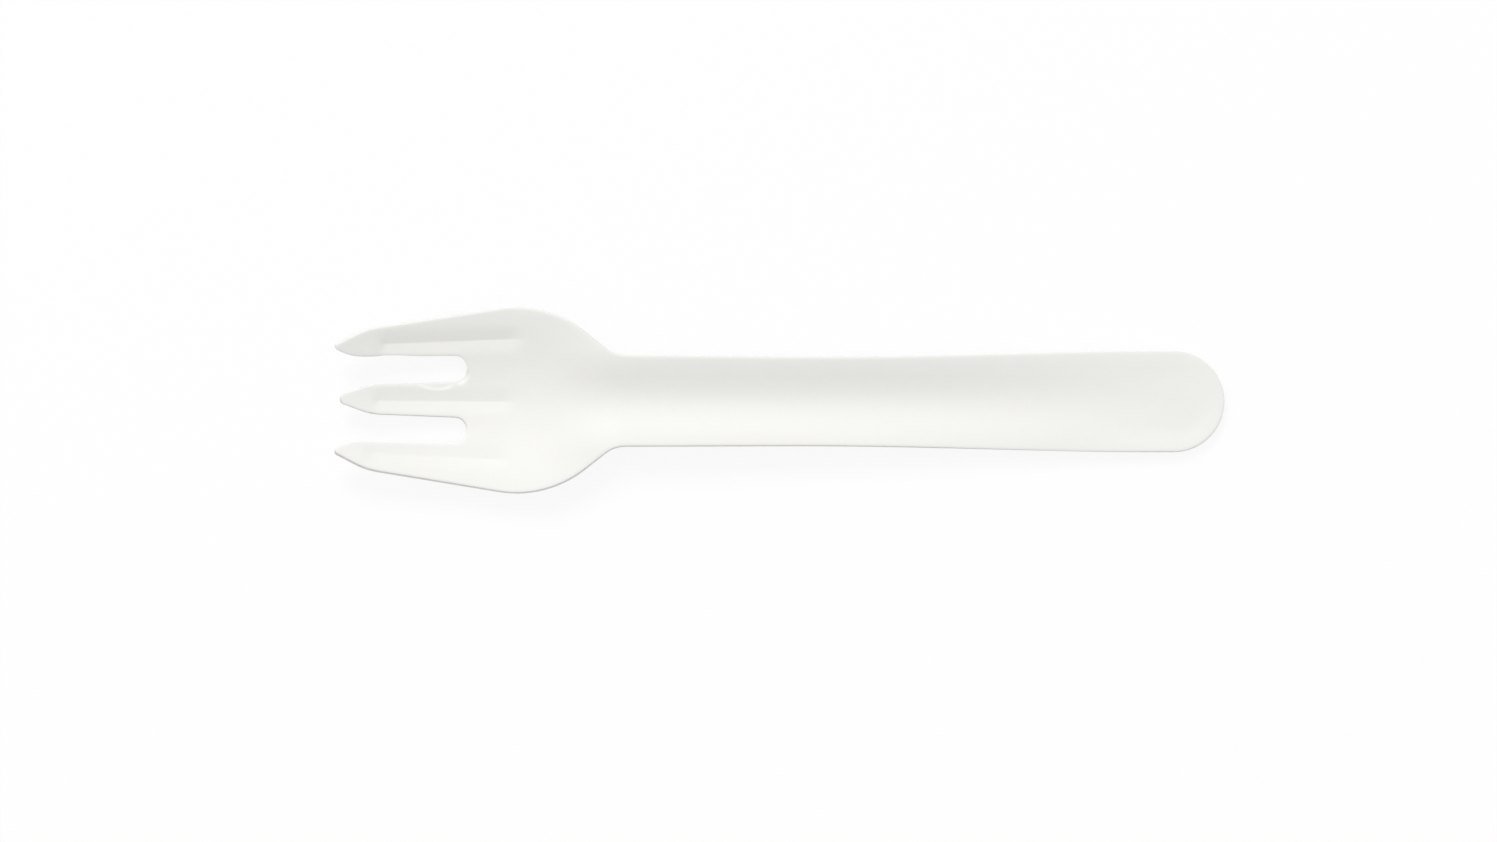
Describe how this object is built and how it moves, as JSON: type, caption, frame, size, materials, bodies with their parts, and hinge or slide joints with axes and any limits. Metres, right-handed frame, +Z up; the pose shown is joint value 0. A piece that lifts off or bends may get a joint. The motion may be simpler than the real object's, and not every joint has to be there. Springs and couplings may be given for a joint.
{
  "type": "paper fork",
  "caption": "White pressed paper fork of bonded plies, with creased tapered tines, a shallow dished head and a troughed handle that runs out to a flat round end.",
  "frame": {"origin": "middle of the fork's length and width, on the surface it lies on", "axes": "+X along the fork from the tines to the handle's end, +Y across it, +Z up out of the dished side"},
  "size_m": [0.16, 0.0336, 0.0065],
  "materials": {
    "coated_paper": "matte",
    "core_paper": "matte",
    "glue": "satin"
  },
  "bodies": {
    "root": {"top_face_ply": "coated_paper", "top_glue_film": "glue", "upper_core_ply": "core_paper", "upper_core_glue_film": "glue", "middle_core_ply": "core_paper", "lower_core_glue_film": "glue", "lower_core_ply": "core_paper", "bottom_glue_film": "glue", "bottom_face_ply": "coated_paper"}
  },
  "joints": []
}
